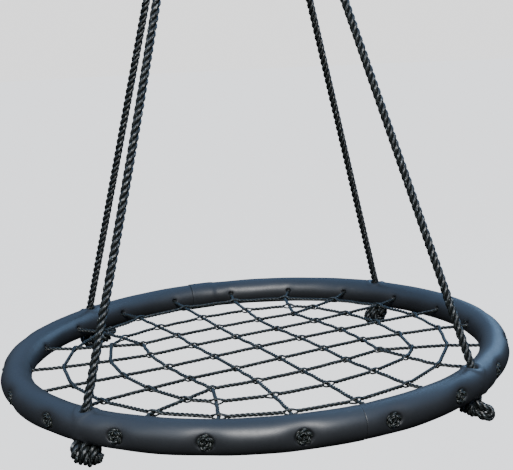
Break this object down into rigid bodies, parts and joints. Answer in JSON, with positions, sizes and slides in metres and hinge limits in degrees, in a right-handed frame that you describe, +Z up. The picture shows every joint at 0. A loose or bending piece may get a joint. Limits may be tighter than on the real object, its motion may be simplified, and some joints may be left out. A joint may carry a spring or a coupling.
{
  "type": "saucer nest swing",
  "caption": "Round nest swing: a padded steel hoop with a laced rope net, carried by doubled ropes from one ring on a shackle and swivel.",
  "frame": {"origin": "bearing point inside the swivel's upper eye, where a hook or beam shackle carries the swing", "axes": "+Z up along the swivel's stem; +X to the right and +Y to the back, with the rope legs at 45 degrees between them"},
  "size_m": [1.0046, 1.0046, 1.5584],
  "materials": {
    "steel": "galvanised, satin",
    "alloy": "pressed, matt",
    "foam": "charcoal closed-cell foam sleeve with a satin skin",
    "rope": "black three-strand laid rope",
    "cord": "black three-strand laid cord"
  },
  "bodies": {
    "swivel_top": {"swivel_upper_eye": "steel", "swivel_washer": "steel", "swivel_nut": "steel"},
    "swivel_bottom": {"swivel_lower_eye": "steel"},
    "shackle": {"shackle_bow": "steel", "shackle_pin": "steel", "shackle_nut": "steel"},
    "seat": {"ferrule_left": "alloy", "ferrule_right": "alloy", "hanging_ring": "steel", "hanging_rope_left": "rope", "hanging_rope_right": "rope", "hoop_cover_left": "foam", "hoop_cover_right": "foam", "hoop_tube": "steel", "net_border": "cord", "net_column_1": "cord", "net_column_2": "cord", "net_column_3": "cord", "net_column_4": "cord", "net_column_5": "cord", "net_inner_ring": "cord", "net_row_1": "cord", "net_row_2": "cord", "net_row_3": "cord", "net_row_4": "cord", "net_row_5": "cord", "stopper_knot_back_left": "rope", "stopper_knot_back_right": "rope", "stopper_knot_front_left": "rope", "stopper_knot_front_right": "rope", "thimble_left": "steel", "thimble_right": "steel"}
  },
  "joints": [
    {"name": "swivel_spin", "type": "hinge", "parent": "swivel_top", "child": "swivel_bottom", "pos_m": [0, 0, -0.046], "axis": [0, 0, 1], "continuous": true},
    {"name": "fore_aft_swing", "type": "hinge", "parent": "swivel_bottom", "child": "shackle", "pos_m": [0, 0, -0.087], "axis": [1, 0, 0], "range_deg": [-50, 50]},
    {"name": "side_swing", "type": "hinge", "parent": "shackle", "child": "seat", "pos_m": [0, 0, -0.1275], "axis": [0, 1, 0], "range_deg": [-40, 40]}
  ]
}
